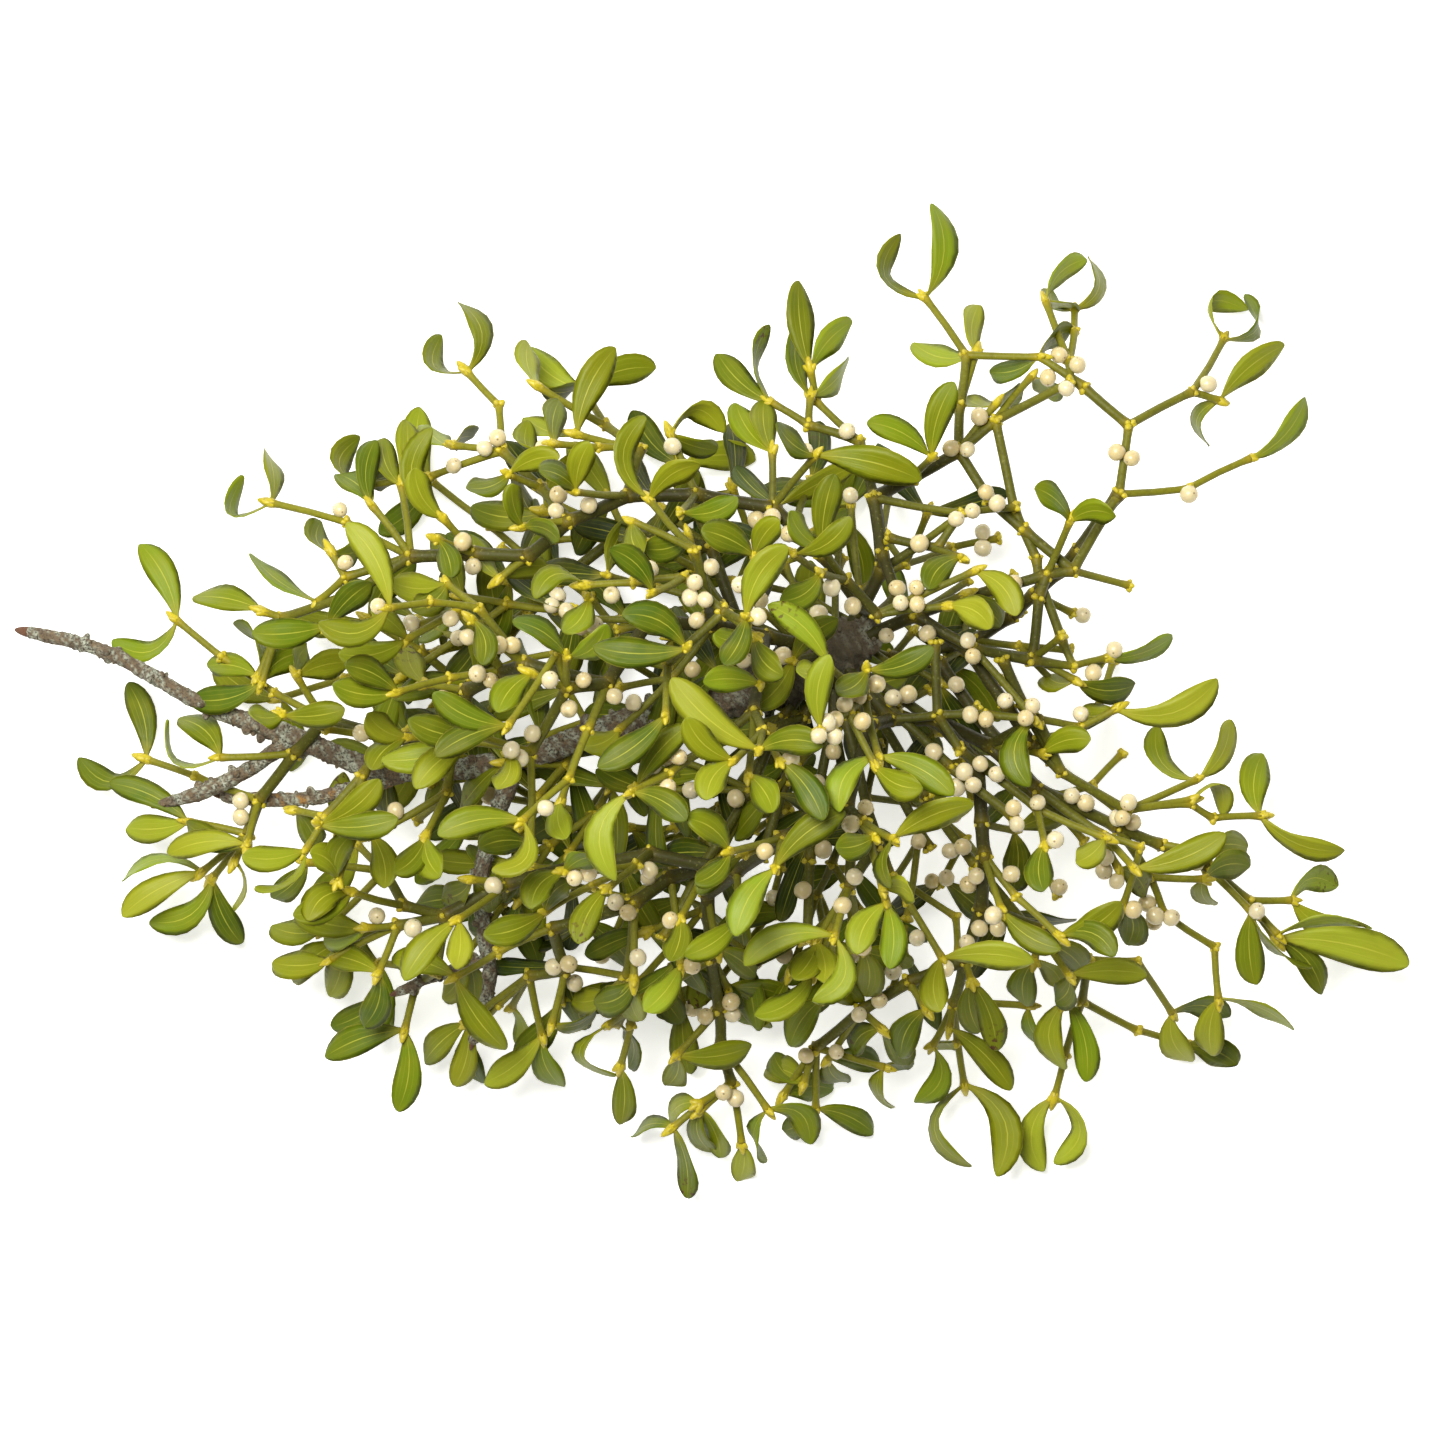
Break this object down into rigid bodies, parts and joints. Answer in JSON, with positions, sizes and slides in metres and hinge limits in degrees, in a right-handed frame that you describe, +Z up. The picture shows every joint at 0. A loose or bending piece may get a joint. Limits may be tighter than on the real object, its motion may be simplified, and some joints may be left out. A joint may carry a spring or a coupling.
{
  "type": "mistletoe bunch",
  "caption": "Cut mistletoe bunch lying flat: forking olive stems with paired blunt leaves, golden buds and pale berries, still held on a piece of its host tree's branch",
  "frame": {"origin": "centre of the bounding box in plan, on the surface the bunch lies on", "axes": "+X along the length of the bunch towards its leafier lower-stemmed end, +Z up from the surface to the crown of the bunch, +Y across the bunch away from the viewer who looks down on it"},
  "size_m": [0.6924, 0.495, 0.2438],
  "materials": {
    "bark": "matte",
    "stem": "satin",
    "leaf": "satin",
    "berry": "gloss",
    "bud": "satin"
  },
  "bodies": {
    "root": {"host_branch": "bark", "woody_bough_1": "stem", "woody_bough_2": "stem", "woody_bough_3": "stem", "woody_bough_4": "stem", "woody_bough_5": "stem", "leafy_sprig_1": "leaf", "leafy_sprig_2": "leaf", "leafy_sprig_3": "leaf", "leafy_sprig_4": "leaf", "leafy_sprig_5": "leaf", "leafy_sprig_6": "leaf", "leafy_sprig_7": "leaf", "leafy_sprig_8": "leaf", "leafy_sprig_9": "leaf", "leafy_sprig_10": "leaf", "leafy_sprig_11": "leaf", "leafy_sprig_12": "leaf", "leafy_sprig_13": "leaf", "leafy_sprig_14": "leaf", "leafy_sprig_15": "leaf", "leafy_sprig_16": "leaf", "leafy_sprig_17": "leaf", "leafy_sprig_18": "leaf", "leafy_sprig_19": "leaf", "leafy_sprig_20": "leaf", "leafy_sprig_21": "leaf", "leafy_sprig_22": "leaf", "leafy_sprig_23": "leaf", "leafy_sprig_24": "leaf", "leafy_sprig_25": "leaf", "leafy_sprig_26": "leaf", "leafy_sprig_27": "leaf", "leafy_sprig_28": "leaf", "leafy_sprig_29": "leaf", "leafy_sprig_30": "leaf", "leafy_sprig_31": "leaf", "leafy_sprig_32": "leaf", "leafy_sprig_33": "leaf", "leafy_sprig_34": "leaf", "leafy_sprig_35": "leaf", "leafy_sprig_36": "leaf", "leafy_sprig_37": "leaf", "leafy_sprig_38": "leaf", "leafy_sprig_39": "leaf", "leafy_sprig_40": "leaf", "leafy_sprig_41": "leaf", "leafy_sprig_42": "leaf", "leafy_sprig_43": "leaf"}
  },
  "joints": []
}
